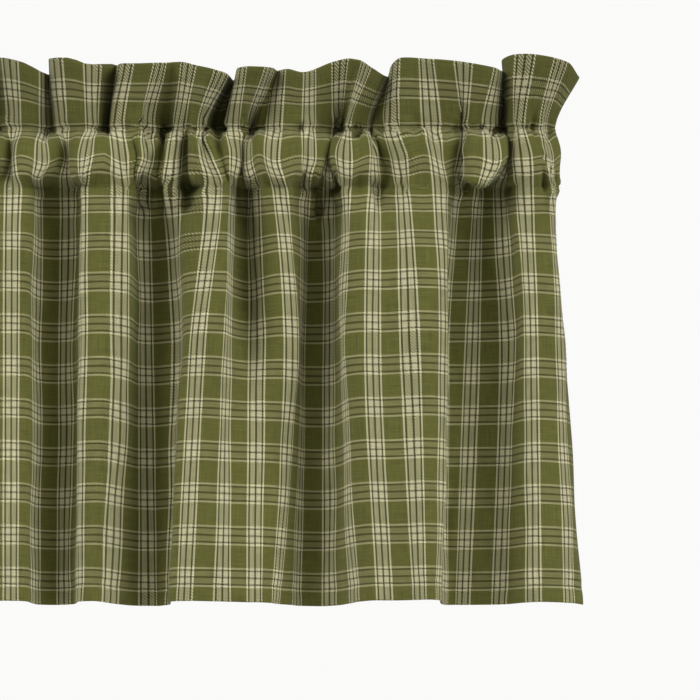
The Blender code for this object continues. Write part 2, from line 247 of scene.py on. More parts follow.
# plain folds carry on to the left side hem: one row is one part of each fold
plainPanelColumns = "flatShare, hungShare, seamOut, panelOut"
plainPanel = (
    (0.15, 0.20, 12, 19),
    (0.17, 0.07, -5, -3),
    (0.20, 0.27, -9, -13),
    (0.16, 0.19, -2, -6),
    (0.16, 0.07, 8, 17),
    (0.16, 0.20, 14, 24),
)
plainHeaderColumns = "flatShare, hungShare, topUp, topOut, rowOut"
plainHeader = (
    (0.22, 0.27, 57.5, 20, 7),
    (0.22, 0.30, 61.5, 19, 6),
    (0.20, 0.30, 62.5, 9, 1),
    (0.18, 0.03, 53.5, -6, -5),
    (0.18, 0.10, 54.0, 10, -1),
)
plainPocketColumns = "flatShare, hungShare, pocketOut, droop"
plainPocket = (
    (0.22, 0.32, 23, 1),
    (0.20, 0.22, 17, 0),
    (0.16, 0.06, 9, 0),
    (0.20, 0.14, 16, 0),
    (0.22, 0.26, 22, 2),
)
plain = {
    "folds": 12,
    "lobes": 21,
    "unevenness": 0.16,
    "hemDrift": 0.1,
    "middleShare": 0.45,
    "rowFollows": 0.5,
    "pocketFollows": 0.8,
    "depths": (0.8, 1.15),   # least and most of each fold's usual depth
    "topUps": (-1.5, 1.0),   # and of each lobe's height over its usual one, in mm
    "puffs": (0.85, 1.12),   # and of each puff's depth, where it is more than puffsFrom
    "puffsFrom": 10,
    "droops": (0.0, 1.2),
    "seed": 14,
}

# creases placed one by one: from and to a place on the flat cloth, each fading towards its second end
creaseColumns = "flatFrom, dropFrom, flatTo, dropTo, width, depth"
creases = (
    (392, 41, 391, 64, 2.2, 5.0),
    (381, 50, 387, 68, 3.2, 3.0),
    (229, 43, 220, 48, 1.8, 4.5),
    (220, 48, 217, 41, 1.6, 3.5),
    (131, 34, 128, 54, 2.2, 4.0),
    (66, 24, 69, 58, 2.4, 4.5),
    (27, 66, 17, 80, 2.2, 2.6),
    (8, 44, 20, 52, 2.2, 2.0),
    (456, 37, 444, 51, 2.4, 3.6),
    (448, 43, 452, 60, 2.2, 2.2),
    (447, 94, 447, 66, 4.6, 5.0),
    (478, 84, 486, 70, 2.4, 1.8),
    (405, 44, 396, 58, 2.2, 2.6),
    (376, 40, 372, 56, 1.8, 2.4),
    (356, 34, 352, 50, 2.2, 3.2),
    (312, 44, 304, 56, 2.4, 2.0),
    (292, 84, 284, 68, 3.0, 3.4),
    (271, 100, 268, 64, 4.2, 7.0),
    (262, 36, 254, 80, 2.2, 5.5),
    (250, 86, 256, 62, 2.4, 4.0),
    (356, 42, 352, 84, 2.6, 8.0),
    (73, 42, 70, 84, 2.4, 5.0),
    (436, 42, 430, 86, 2.2, 4.5),
    (127, 58, 122, 86, 2.4, 3.5),
    (196, 50, 199, 84, 2.4, 3.6),
    (246, 86, 240, 100, 2.4, 2.4),
    (200, 44, 206, 62, 2.6, 3.0),
    (198, 86, 190, 64, 3.0, 2.6),
    (168, 43, 163, 54, 2.2, 1.8),
    (150, 44, 152, 53, 1.8, 1.6),
    (107, 41, 99, 48, 1.8, 3.6),
    (99, 48, 92, 40, 1.6, 3.0),
    (116, 86, 112, 98, 2.4, 2.2),
    (62, 86, 58, 106, 2.4, 3.0),
    (40, 87, 43, 99, 2.2, 1.5),
    (20, 88, 24, 104, 2.6, 1.8),
    (345, 88, 350, 110, 3.0, 2.6),
    (395, 87, 398, 101, 2.4, 1.8),
    (431, 86, 434, 108, 3.0, 2.8),
    (180, 88, 184, 104, 2.4, 1.6),
    (318, 88, 315, 100, 2.4, 1.6),
)

# small puckers drawn in by the two rows, and slow unevenness of the whole cloth
puckers = {
    "each": 130,
    "length": (6.0, 22.0),
    "lean": 4.5,
    "width": (1.4, 3.4),
    "depth": (0.25, 0.95),   # of the width
    "fade": 0.8,             # of the depth, towards the far end
    "ridge": 0.35,           # of the depth, beside the trough
    "ridgeAt": 1.8,          # widths from its middle
    "reach": 3,              # widths past which nothing is left of it
    "rowDip": 0.7,
    "rowDipWidth": 1.6,
    "hemDip": 0.45,
    "hemDipWidth": 2.5,
    "seed": 8,
}
unevenness = {
    "waves": ((71.0, 140.0, 0.7), (43.0, 95.0, 0.5), (24.0, 61.0, 0.3)),   # flat, drop, height
    "lean": 1.7,               # how far the waves wander sideways on their way down
    "gather": ((19.0, 0.9), (11.3, 0.5)),      # flat, height beside a row
    "gatherChange": 0.4,       # share by which the gathers grow and shrink, and over what flat width
    "gatherOver": 31.0,
    "sway": ((41.0, 1.5), (27.0, 1.1), (97.0, 0.8)),     # of the crosswise bands in the pocket
    "reach": 15.0,
    "behind": 0.5,             # strength on the pocket's back
    "seed": 5,
}


def table(rows, columns):
    return np.rec.fromrecords([tuple(map(float, row)) for row in rows], names=columns)


def smoothThrough(knots, values, at):
    # a smooth curve through values at knots that never swings past them
    knots, values = np.asarray(knots, float), np.asarray(values, float)
    steps = np.diff(knots).reshape((-1,) + (1,) * (values.ndim - 1))
    rises = np.diff(values, axis=0) / steps
    before, after = rises[:-1], rises[1:]
    sameWay = before * after > 0
    total = np.where(sameWay, before + after, 1.0)
    inner = np.where(sameWay, 2 * before * after / total, 0.0)
    slopes = np.concatenate([rises[:1], inner, rises[-1:]])
    cell = np.clip(np.searchsorted(knots, at) - 1, 0, len(knots) - 2)
    step = np.diff(knots)[cell]
    t = (at - knots[cell]) / step
    return (
        values[cell] * (2 * t + 1) * (t - 1) ** 2
        + values[cell + 1] * t * t * (3 - 2 * t)
        + slopes[cell] * step * t * (t - 1) ** 2
        + slopes[cell + 1] * step * t * t * (t - 1)
    )


def ease(t):
    t = np.clip(t, 0.0, 1.0)
    return t * t * (3 - 2 * t)


def foldWidths(count, chance):
    return [1 + chance.uniform(-plain["unevenness"], plain["unevenness"]) for _ in range(count)]


def stepsOf(shares, widths, total):
    steps = np.array([share * width for width in widths for share in shares])
    return steps * total / steps.sum()


def plainPanelFolds():
    chance = random.Random(plain["seed"])
    last = table(panelFolds, panelColumns)[-1]
    parts = table(plainPanel, plainPanelColumns)
    widths = foldWidths(plain["folds"], chance)
    flatLeft = cloth["flatWidth"] - last.flatAt
    flats = last.flatAt + np.cumsum(stepsOf(parts.flatShare, widths, flatLeft))
    seams = last.seamLeft + np.cumsum(
        stepsOf(parts.hungShare, widths, cloth["hungWidth"] - last.seamLeft))
    drifts = [width + chance.uniform(-plain["hemDrift"], plain["hemDrift"]) for width in widths]
    hemEnd = cloth["hungWidth"] + cloth["hemFlare"]
    hems = last.hemLeft + np.cumsum(stepsOf(parts.hungShare, drifts, hemEnd - last.hemLeft))
    rows = []
    for i, flat in enumerate(flats):
        part = parts[i % len(parts)]
        middle = seams[i] + plain["middleShare"] * (hems[i] - seams[i])
        depth = part.panelOut * chance.uniform(*plain["depths"])
        rows.append((flat, seams[i], middle, hems[i], part.seamOut, depth, depth))
    return rows


def plainLobes(last, shares, seed):
    # flat place, hung place and share of the way along of each part of the plain lobes
    chance = random.Random(plain["seed"] + 1)
    widths = foldWidths(plain["lobes"], chance)
    flatLeft = cloth["flatWidth"] - last[0]
    flats = last[0] + np.cumsum(stepsOf(shares.flatShare, widths, flatLeft))
    hungs = last[1] + np.cumsum(stepsOf(shares.hungShare, widths, last[2] - last[1]))
    along = (flats - last[0]) / flatLeft
    return flats, hungs, along, random.Random(seed)


def plainHeaderFolds():
    last = table(headerFolds, headerColumns)[-1]
    parts = table(plainHeader, plainHeaderColumns)
    topEnd = cloth["hungWidth"] + cloth["topFlare"]
    flats, tops, along, chance = plainLobes((last.flatAt, last.topLeft, topEnd), parts, plain["seed"] + 2)
    rows = []
    for i, (flat, top, share) in enumerate(zip(flats, tops, along)):
        part = parts[i % len(parts)]
        even = last.rowLeft + share * (cloth["hungWidth"] - last.rowLeft)
        rowLeft = even + plain["rowFollows"] * (top - even) * (1 - share)
        topUp = part.topUp + chance.uniform(*plain["topUps"])
        rows.append((flat, top, topUp, part.topOut, rowLeft, part.rowOut))
    return rows


def plainPocketFolds():
    last = table(pocketFolds, pocketColumns)[-1]
    parts = table(plainPocket, plainPocketColumns)
    places = (last.flatAt, last.pocketLeft, cloth["hungWidth"])
    flats, lobes, along, chance = plainLobes(places, parts, plain["seed"] + 3)
    rows = []
    for i, (flat, lobe, share) in enumerate(zip(flats, lobes, along)):
        part = parts[i % len(parts)]
        even = last.pocketLeft + share * (cloth["hungWidth"] - last.pocketLeft)
        left = even + plain["pocketFollows"] * (lobe - even)
        full = part.pocketOut
        if full > plain["puffsFrom"]:
            full = full * chance.uniform(*plain["puffs"])
        rows.append((flat, left, full, part.droop * chance.uniform(*plain["droops"])))
    return rows


def stations(flat):
    # where the cloth lies at its top edge, pocket rows, mid pocket, mid panel and hem
    parts = (
        table(list(panelFolds) + plainPanelFolds(), panelColumns),
        table(list(pocketFolds) + plainPocketFolds(), pocketColumns),
        table(list(headerFolds) + plainHeaderFolds(), headerColumns),
    )
    places = {name: smoothThrough(rows.flatAt, rows[name], flat)
              for rows in parts for name in rows.dtype.names[1:]}
    for name in ("top", "row", "pocket", "seam"):
        forward, spread = cloth[name + "Depth"]
        places[name + "Out"] = forward + spread * places[name + "Out"]
    places["sway"] = sum(height * np.sin(2 * math.pi * flat / across + height)
                         for across, height in unevenness["sway"])
    return places


def hung(places, drop, behind=False):
    # left, out and up of one row of the cloth, drop below its top edge
    upper = cloth["headerDrop"]
    seam = upper + cloth["pocketDrop"]
    left = smoothThrough(
        (0.0, upper, (upper + seam) / 2, seam, seam + cloth["middleDrop"], seam + cloth["panelDrop"]),
        [places[name] for name in
         ("topLeft", "rowLeft", "pocketLeft", "seamLeft", "middleLeft", "hemLeft")],
        drop,
    )
    if drop <= upper:
        t = drop / upper
        out = places["topOut"] * (1 - t) + places["rowOut"] * t
        up = places["topUp"] * (1 - t) + cloth["rowHeight"] * t
    elif drop <= seam:
        t = (drop - upper) / cloth["pocketDrop"]
        turn = cloth["pocketTurn"]
        row = places["rowOut"] * (1 - t) + places["seamOut"] * t
        up = np.full_like(row, cloth["rowHeight"] * (1 - 2 * t))
        if behind:
            full = -cloth["backClearance"] - cloth["backShare"] * (cloth["rowFront"] - row)
            puff = ease(t / turn) * ease((1 - t) / turn)
        else:
            full, droop = places["pocketOut"], places["droop"]
            puff = ease(t / turn) * ease((1 - t) / (turn - cloth["droopTurn"] * droop))
            hangs = ease((t - cloth["droopFrom"]) / cloth["droopOver"]) * ease((1 - t) / cloth["droopEnd"])
            up = up - droop * hangs
            up = up + 4 * t * (1 - t) * places["sway"]
        out = row + (full - row) * puff
    else:
        below = drop - seam
        bow = ease(below / cloth["bowDrop"])
        low = ease((below - cloth["hemFoldsFrom"]) / cloth["hemFoldsDrop"])
        panel = places["panelOut"] * (1 - low) + places["hemOut"] * low
        out = places["seamOut"] * (1 - bow) + panel * bow
        crest = (panel - cloth["valleyOut"]) / cloth["crestOut"]
        up = -cloth["rowHeight"] - below + cloth["crestLift"] * crest * ease(below / cloth["liftDrop"])
    return left, out, up


def allCreases():
    chance = random.Random(puckers["seed"])
    rows = list(creases)
    upper = cloth["headerDrop"]
    for row in (upper, upper + cloth["pocketDrop"]):
        for way in (-1, 1):
            for _ in range(puckers["each"]):
                flat = chance.uniform(3, cloth["flatWidth"] - 3)
                length = chance.uniform(*puckers["length"])
                lean = chance.uniform(-puckers["lean"], puckers["lean"])
                width = chance.uniform(*puckers["width"])
                rows.append((flat, row, flat + lean, row + way * length,
                             width, width * chance.uniform(*puckers["depth"])))
    return table(rows, creaseColumns)


def raised(flat, drops):
    # height of the fine relief over the smooth folds, rows by columns
    drops = np.asarray(drops)
    relief = np.zeros((len(drops), len(flat)))
    chance = random.Random(unevenness["seed"])
    upper = cloth["headerDrop"]
    rows = (upper, upper + cloth["pocketDrop"])
    for across, down, height in unevenness["waves"]:
        first, second = chance.random(), chance.random()
        sideways = unevenness["lean"] * np.sin(drops / down)[:, None]
        wave = np.sin(2 * math.pi * (flat / across + first)[None, :] + sideways)
        relief += height * wave * np.cos(2 * math.pi * (drops / down + second))[:, None]
    beside = sum(np.exp(-abs(drops - row) / unevenness["reach"]) for row in rows)
    for across, height in unevenness["gather"]:
        slow = 1 + unevenness["gatherChange"] * np.sin(flat / unevenness["gatherOver"] + chance.random() * 6)
        relief += height * beside[:, None] * (slow * np.sin(2 * math.pi * flat / across))[None, :]
    for row in rows:
        relief -= puckers["rowDip"] * np.exp(-((drops - row) / puckers["rowDipWidth"]) ** 2)[:, None]
    hemRow = rows[1] + cloth["panelDrop"] - cloth["hemTurn"]
    relief -= puckers["hemDip"] * np.exp(-((drops - hemRow) / puckers["hemDipWidth"]) ** 2)[:, None]
    for crease in allCreases():
        reach = puckers["reach"] * crease.width
        low, high = sorted((crease.flatFrom, crease.flatTo))
        near = (flat > low - reach) & (flat < high + reach)
        over, down = crease.flatTo - crease.flatFrom, crease.dropTo - crease.dropFrom
        x = flat[near][None, :] - crease.flatFrom
        y = drops[:, None] - crease.dropFrom
        along = np.clip((x * over + y * down) / (over ** 2 + down ** 2), 0, 1)
        away = np.hypot(x - along * over, y - along * down) / crease.width
        depth = crease.depth * (1 - puckers["fade"] * along)
        ridge = puckers["ridge"] * np.exp(-(away - puckers["ridgeAt"]) ** 2)
        relief[:, near] += depth * (ridge - np.exp(-away ** 2))
    return relief


def surfaceRows(places, flat, drops, behind=False):
    # points and outward normals, rows by columns
    points = np.stack([np.stack(hung(places, drop, behind), axis=1) for drop in drops])
    across = np.gradient(points, axis=1)
    down = np.gradient(points, axis=0)
    normals = np.cross(across, down)
    normals *= np.sign(normals[..., 1:2].mean()) / np.linalg.norm(normals, axis=2, keepdims=True)
    strength = unevenness["behind"] if behind else 1.0
    return points + normals * strength * raised(flat, drops)[..., None], normals


def spaced(start, end, step):
    return np.linspace(start, end, max(1, round(abs(end - start) / step)) + 1)


def joined(*parts):
    return np.concatenate([parts[0]] + [part[1:] for part in parts[1:]])


def clothPath(places, flat):
    # the whole strip in order: back layer, over the top fold, header, pocket, panel, turned hem
    gap = cloth["layerGap"]
    upper = cloth["headerDrop"]
    seam = upper + cloth["pocketDrop"]
    hem = seam + cloth["panelDrop"]
    hemRow = hem - cloth["hemTurn"]
    levels = {"top": 0, "upperRow": upper, "lowerRow": seam, "hemRow": hemRow, "hem": hem}
    mainDrops = joined(*(spaced(levels[start] + after, levels[end] + beyond, step)
                         for start, after, end, beyond, step in frontCells))
    backDrops = spaced(upper, seam, cloth["backStep"])
    main, mainNormal = surfaceRows(places, flat, mainDrops)
    back, backNormal = surfaceRows(places, flat, backDrops, behind=True)

    rows = []

    def add(points, along):
        rows.append((points, along))

    def mainAt(drop):
        i = int(np.argmin(abs(mainDrops - drop)))
        return main[i], mainNormal[i]

    under, underNormal = mainAt(seam + cloth["turnedEdge"])
    add(under - underNormal * 2 * gap, -seam - cloth["turnedEdge"])
    for i in range(len(backDrops) - 1, 0, -1):
        add(back[i] - backNormal[i] * gap, -backDrops[i])
    for drop in mainDrops[mainDrops <= upper + 0.01][::-1]:
        points, normal = mainAt(drop)
        if drop > 0:
            add(points - normal * gap, -drop)
    top, topNormal = mainAt(0)
    upward = main[0] - main[1]
    upward /= np.linalg.norm(upward, axis=1, keepdims=True)
    for angle in (180, 135, 90, 45, 0):
        turn = math.radians(angle)
        around = topNormal * math.cos(turn) + upward * math.sin(turn)
        add(top + around * gap, (90 - angle) / 90 * gap)
    for i, drop in enumerate(mainDrops[1:], 1):
        share = 1 - float(ease((drop - seam) / cloth["gapDrop"]))
        add(main[i] + mainNormal[i] * gap * share, drop)
    bottom, bottomNormal = main[-1], mainNormal[-1]
    downward = main[-1] - main[-2]
    downward /= np.linalg.norm(downward, axis=1, keepdims=True)
    for angle in (45, 90, 135, 180):
        turn = math.radians(angle)
        around = bottomNormal * (math.cos(turn) - 1) + downward * math.sin(turn)
        add(bottom + around * gap * cloth["hemGap"], hem + angle / 90 * gap)
    for drop in (hem - cloth["hemTurn"] / 2, hemRow):
        points, normal = mainAt(drop)
        add(points - normal * gap * cloth["hemBackGap"], 2 * hem - drop)
    return rows


def flatColumns():
    drawn = panelFolds[-1][0]
    return joined(spaced(0, drawn, cloth["nearStep"]),
                  spaced(drawn, cloth["flatWidth"], cloth["plainStep"]))


def cottonCloth():
    print("cloth")
    flat = flatColumns()
    rows = clothPath(stations(flat), flat)
    bm = bmesh.new()
    bmesh.ops.create_grid(bm, x_segments=len(flat) - 1, y_segments=len(rows) - 1, size=1.0)
    uvLayer = bm.loops.layers.uv.new("flatCloth")
    half = cloth["hungWidth"] / 2
    cell = {}
    for vert in bm.verts:
        column = round((1 - vert.co.x) / 2 * (len(flat) - 1))
        row = round((1 - vert.co.y) / 2 * (len(rows) - 1))
        cell[vert] = (column, row)
    for vert, (column, row) in cell.items():
        left, out, up = rows[row][0][column]
        vert.co = ((half - left) * mm, -out * mm, up * mm)
    for face in bm.faces:
        for loop in face.loops:
            column, row = cell[loop.vert]
            loop[uvLayer].uv = (flat[column] * mm, rows[row][1] * mm)
    mesh = bpy.data.meshes.new("valanceCloth")
    bm.to_mesh(mesh)
    bm.free()
    piece = bpy.data.objects.new("valanceCloth", mesh)
    bpy.context.collection.objects.link(piece)
    mesh.shade_smooth()
    solid = piece.modifiers.new("clothThickness", "SOLIDIFY")
    solid.thickness = cloth["thickness"] * mm
    solid.offset = 0.0
    solid.use_even_offset = False
    print("  columns", len(flat), "rows", len(rows), "faces", len(mesh.polygons))
    return piece


# green thread of the rows: front and back of the pocket rows, and the hem
thread = {
    "pitch": 3.2,            # along the flat cloth
    "share": 0.72,           # of the pitch that shows
    "radius": 0.24,
    "proud": 0.36,           # of the thread's middle over the cloth's own middle
    "sideHem": 9.0,          # of the side hem's row from the edge
    "sideEnds": (6.0, 2.0),  # of that row, from the lower row and from the hem's
    "halfLength": (0.7, 1.4),
    "near": 0.4,             # from a row to the rows beside it that give its direction
    "colour": (0.060, 0.065, 0.018),
    "lighter": 2.2,          # of the colour, where the thread catches the light
    "spots": 900.0,          # in a metre
    "sheen": 0.1,
    "roughness": 0.5,
    "roughSpread": 0.2,
}


def stitchCenters():
    # middles, directions and normals of the stitches along every row
    flat = np.arange(thread["pitch"], cloth["flatWidth"] - 2, thread["pitch"])
    places = stations(flat)
    upper = cloth["headerDrop"]
    seam = upper + cloth["pocketDrop"]
    hemRow = seam + cloth["panelDrop"] - cloth["hemTurn"]
    found = []
    for drop, gap, behind in ((upper, 1, False), (seam, 1, False), (hemRow, 0, False),
                              (upper, 1, True), (seam, 1, True)):
        drops = np.array([drop - thread["near"], drop, drop + thread["near"]])
        points, normals = surfaceRows(places, flat, drops)
        side = -1 if behind else 1
        proud = (gap * cloth["layerGap"] + thread["proud"]) * side
        way = np.gradient(points[1], axis=0)
        found.append((points[1] + normals[1] * proud, way, normals[1]))
    first, last = thread["sideEnds"]
    sideDrops = np.arange(seam + first, hemRow - last, thread["pitch"])
    for edge in (thread["sideHem"], cloth["flatWidth"] - thread["sideHem"]):
        near = np.array([edge - thread["near"], edge, edge + thread["near"]])
        points, normals = surfaceRows(stations(near), near, sideDrops)
        way = np.gradient(points[:, 1], axis=0)
        found.append((points[:, 1] + normals[:, 1] * thread["proud"], way, normals[:, 1]))
    return [np.concatenate(part) for part in zip(*found)]


def sewingThread():
    print("sewing thread")
    bm = bmesh.new()
    bmesh.ops.create_uvsphere(bm, u_segments=6, v_segments=4, radius=1.0)
    bmesh.ops.rotate(bm, verts=bm.verts, matrix=Matrix.Rotation(math.radians(90), 3, "Y"))
    bm.verts.index_update()
    stitch = np.array([vert.co for vert in bm.verts])
    corners = [[vert.index for vert in face.verts] for face in bm.faces]
    bm.free()
    middles, ways, normals = stitchCenters()
    length = np.linalg.norm(ways, axis=1, keepdims=True)
    ways = ways / length
    over = np.cross(normals, ways)
    half = np.clip(length * thread["share"] / 2, *thread["halfLength"])
    points = (middles[:, None, :]
              + stitch[None, :, :1] * (ways * half)[:, None, :]
              + stitch[None, :, 1:2] * (over * thread["radius"])[:, None, :]
              + stitch[None, :, 2:] * (normals * thread["radius"])[:, None, :])
    points = points.reshape(-1, 3)
    placed = np.stack([cloth["hungWidth"] / 2 - points[:, 0], -points[:, 1], points[:, 2]], axis=1) * mm
    count = len(stitch)
    faces = [[i * count + corner for corner in face] for i in range(len(middles)) for face in corners]
    mesh = bpy.data.meshes.new("sewingThread")
    mesh.from_pydata(placed.tolist(), [], faces)
    mesh.shade_smooth()
    cleaned = bmesh.new()
    cleaned.from_mesh(mesh)
    bmesh.ops.recalc_face_normals(cleaned, faces=cleaned.faces)
    cleaned.to_mesh(mesh)
    cleaned.free()
    piece = bpy.data.objects.new("sewingThread", mesh)
    bpy.context.collection.objects.link(piece)
    print("  stitches", len(middles), "faces", len(faces))
    return piece


# yarn colours and the plaid's repeat, in mm
plaid = {
    "repeat": 26.78,
    "firstBand": 13.9,       # from the right side hem to the first upright band
    "firstCross": 91.9,      # from the top edge to a crosswise band
    "yarnPitch": 1.95,       # of the twill
    "uprightShare": 0.55,    # of the face that the upright yarns cover
    "crossingLight": 0.45,   # more cream where two light bands cross
    "darkLine": 0.16,        # how far a dark line also shades the yarns that cross it
    "paintedHeaderShade": 0.13,         # painted shade: darker where the header is two layers, which let no light through from behind
    "paintedHeaderShadeEdge": 3.0,      # over which that painted shade fades, above and below the row
    "crossingColour": (0.66, 0.63, 0.42),
    "upright": {
        "ground": (0.111, 0.114, 0.024),
        "cream": (0.64, 0.61, 0.39),
        "wide": (0.46, 0.44, 0.265),
        "dark": (0.048, 0.037, 0.009),
    },
    "cross": {
        "ground": (0.111, 0.114, 0.024),
        "cream": (0.47, 0.45, 0.25),
        "wide": (0.26, 0.25, 0.115),
        "dark": (0.048, 0.037, 0.009),
    },
}
# one band: width in mm and yarn
plaidBand = (
    (1.3, "cream"), (1.15, "dark"), (3.3, "wide"), (1.2, "dark"), (3.3, "wide"), (1.15, "dark"),
    (1.3, "cream"),
)

# surface of the cotton
cotton = {
    "roughness": 0.86,
    "roughSpread": 0.12,
    "specular": 0.25,
    "sheen": 0.08,
    "sheenRoughness": 0.5,
    "slubsAcross": 1400.0,   # uneven spots in a metre across the yarns, and along them
    "slubsAlong": 55.0,
    "slubShift": 0.5,        # of a twill line, by the uneven yarns
    "slubShade": 0.8,
    "twillEdge": 5.0,        # how sharply one yarn gives way to the other
    "twillHeight": 0.3,
    "fadeShade": 0.16,
    "fadeSize": 0.09,
    "weaveBump": 0.35,
    "weaveHeight": 0.25,
}


def shaderMath(tree, kind, *values):
    node = tree.nodes.new("ShaderNodeMath")
    node.operation = kind
    for i, value in enumerate(values):
        if isinstance(value, (int, float)):
            node.inputs[i].default_value = value
        else:
            tree.links.new(value, node.inputs[i])
    return node.outputs[0]


def shaderMix(tree, factor, first, second, blend="MIX"):
    node = tree.nodes.new("ShaderNodeMix")
    node.data_type = "RGBA"
    node.blend_type = blend
    for name, value in (("Factor", factor), ("A", first), ("B", second)):
        kind = "VALUE" if name == "Factor" else "RGBA"
        socket = next(s for s in node.inputs if s.name == name and s.type == kind)
        if isinstance(value, (int, float)):
            socket.default_value = value
        elif isinstance(value, tuple):
            socket.default_value = (*value, 1.0)
        else:
            tree.links.new(value, socket)
    return next(s for s in node.outputs if s.type == "RGBA")


def newGroup(name, inputs, outputs):
    group = bpy.data.node_groups.new(name, "ShaderNodeTree")
    for way, sockets in (("INPUT", inputs), ("OUTPUT", outputs)):
        for label, kind in sockets:
            group.interface.new_socket(label, in_out=way, socket_type="NodeSocket" + kind)
    return group, group.nodes.new("NodeGroupInput"), group.nodes.new("NodeGroupOutput")


def stripeGroup(name, colours):
    # yarn colour of one set of stripes at a distance across them, and how light the band is
    group, source, result = newGroup(
        name, (("Distance", "Float"), ("First", "Float")),
        (("Colour", "Color"), ("Light", "Float"), ("Dark", "Float")))
    shifted = shaderMath(group, "SUBTRACT", source.outputs["Distance"], source.outputs["First"])
    part = shaderMath(group, "FRACT", shaderMath(group, "DIVIDE", shifted, plaid["repeat"] * mm))
    off, on = (0, 0, 0), (1, 1, 1)
    for output, looks in (("Colour", colours),
                          ("Light", {"ground": off, "cream": on, "wide": on, "dark": off}),
                          ("Dark", {"ground": off, "cream": off, "wide": off, "dark": on})):
        ramp = group.nodes.new("ShaderNodeValToRGB")
        ramp.color_ramp.interpolation = "CONSTANT"
        group.links.new(part, ramp.inputs[0])
        stops = ramp.color_ramp.elements
        stops[0].position = 0.0
        stops[0].color = (*looks[plaidBand[0][1]], 1.0)
        edge = plaidBand[0][0]
        for width, yarn in plaidBand[1:]:
            stops.new(edge / plaid["repeat"]).color = (*looks[yarn], 1.0)
            edge += width
        stops[len(stops) - 1].position = edge / plaid["repeat"]
        stops[len(stops) - 1].color = (*looks["ground"], 1.0)
        group.links.new(ramp.outputs[0], result.inputs[output])
    return group


def weaveGroup():
    # which yarn is on top, and the height of the twill with its uneven yarns
    group, source, result = newGroup(
        "twillWeave", (("Flat", "Float"), ("Drop", "Float"), ("Pitch", "Float"), ("Upright Share", "Float")),
        (("Upright On Top", "Float"), ("Height", "Float"), ("Slub", "Float")))
    slubs = []
    for across, along in (("Flat", "Drop"), ("Drop", "Flat")):
        place = group.nodes.new("ShaderNodeCombineXYZ")
        for i, (way, spots) in enumerate(((across, "slubsAcross"), (along, "slubsAlong"))):
            scaled = shaderMath(group, "MULTIPLY", source.outputs[way], cotton[spots])
            group.links.new(scaled, place.inputs[i])
        noise = group.nodes.new("ShaderNodeTexNoise")
        noise.inputs["Scale"].default_value = 1.0
        noise.inputs["Detail"].default_value = 2.0
        group.links.new(place.outputs[0], noise.inputs["Vector"])
        slubs.append(noise.outputs["Fac"])
    both = shaderMath(group, "ADD", source.outputs["Flat"], source.outputs["Drop"])
    steps = shaderMath(group, "DIVIDE", both, source.outputs["Pitch"])
    uneven = shaderMath(group, "MULTIPLY", shaderMath(group, "SUBTRACT", slubs[0], 0.5),
                        cotton["slubShift"])
    phase = shaderMath(group, "FRACT", shaderMath(group, "ADD", steps, uneven))
    edge = shaderMath(group, "SUBTRACT", source.outputs["Upright Share"], phase)
    soft = shaderMath(group, "ADD", shaderMath(group, "MULTIPLY", edge, cotton["twillEdge"]), 0.5)
    onTop = group.nodes.new("ShaderNodeClamp")
    group.links.new(soft, onTop.inputs[0])
    wave = shaderMath(group, "SINE", shaderMath(group, "MULTIPLY", phase, 2 * math.pi))
    mixed = shaderMath(group, "ADD", shaderMath(group, "MULTIPLY", wave, cotton["twillHeight"]),
                       shaderMath(group, "ADD", slubs[0], slubs[1]))
    group.links.new(onTop.outputs[0], result.inputs["Upright On Top"])
    group.links.new(mixed, result.inputs["Height"])
    group.links.new(shaderMath(group, "MULTIPLY", shaderMath(group, "ADD", *slubs), 0.5),
                    result.inputs["Slub"])
    return group


